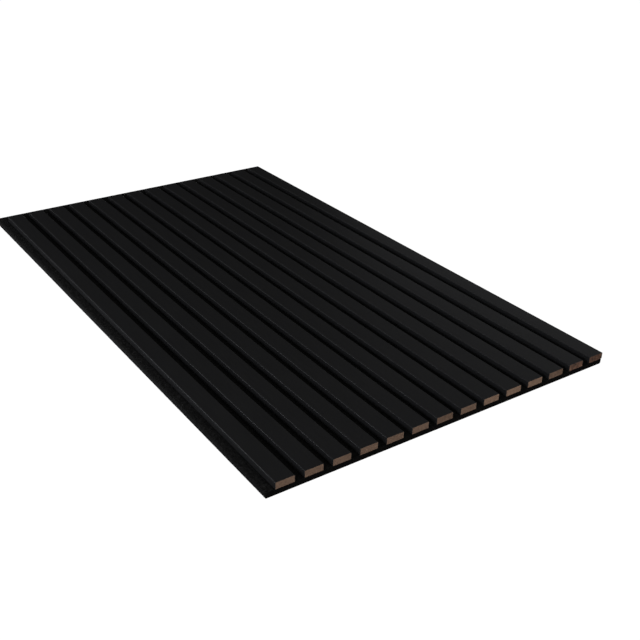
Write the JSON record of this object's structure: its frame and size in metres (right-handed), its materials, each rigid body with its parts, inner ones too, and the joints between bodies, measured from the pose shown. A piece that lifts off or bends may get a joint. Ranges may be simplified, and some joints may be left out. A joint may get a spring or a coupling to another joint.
{
  "type": "acoustic slat wall panel",
  "caption": "Flat sound-absorbing wall panel: black wrapped fibreboard slats side by side with open gaps on a black pressed felt board.",
  "frame": {"origin": "middle of the back of the panel, on the plane that it lies on", "axes": "+X across the slats towards the side where the last slat stands past the felt, +Y along the slats, +Z out of the slat faces"},
  "size_m": [0.601, 1.058, 0.0192],
  "materials": {
    "felt": "matt needled felt, black",
    "core_board": "sawn fibreboard, brown",
    "wrap": "matt foil, black",
    "staple_wire": "zinc-plated wire"
  },
  "bodies": {
    "root": {"felt_backing": "felt", "slat_core_01": "core_board", "slat_core_02": "core_board", "slat_core_03": "core_board", "slat_core_04": "core_board", "slat_core_05": "core_board", "slat_core_06": "core_board", "slat_core_07": "core_board", "slat_core_08": "core_board", "slat_core_09": "core_board", "slat_core_10": "core_board", "slat_core_11": "core_board", "slat_core_12": "core_board", "slat_core_13": "core_board", "slat_core_14": "core_board", "slat_facing_01": "wrap", "slat_facing_02": "wrap", "slat_facing_03": "wrap", "slat_facing_04": "wrap", "slat_facing_05": "wrap", "slat_facing_06": "wrap", "slat_facing_07": "wrap", "slat_facing_08": "wrap", "slat_facing_09": "wrap", "slat_facing_10": "wrap", "slat_facing_11": "wrap", "slat_facing_12": "wrap", "slat_facing_13": "wrap", "slat_facing_14": "wrap", "back_staples": "staple_wire"}
  },
  "joints": []
}
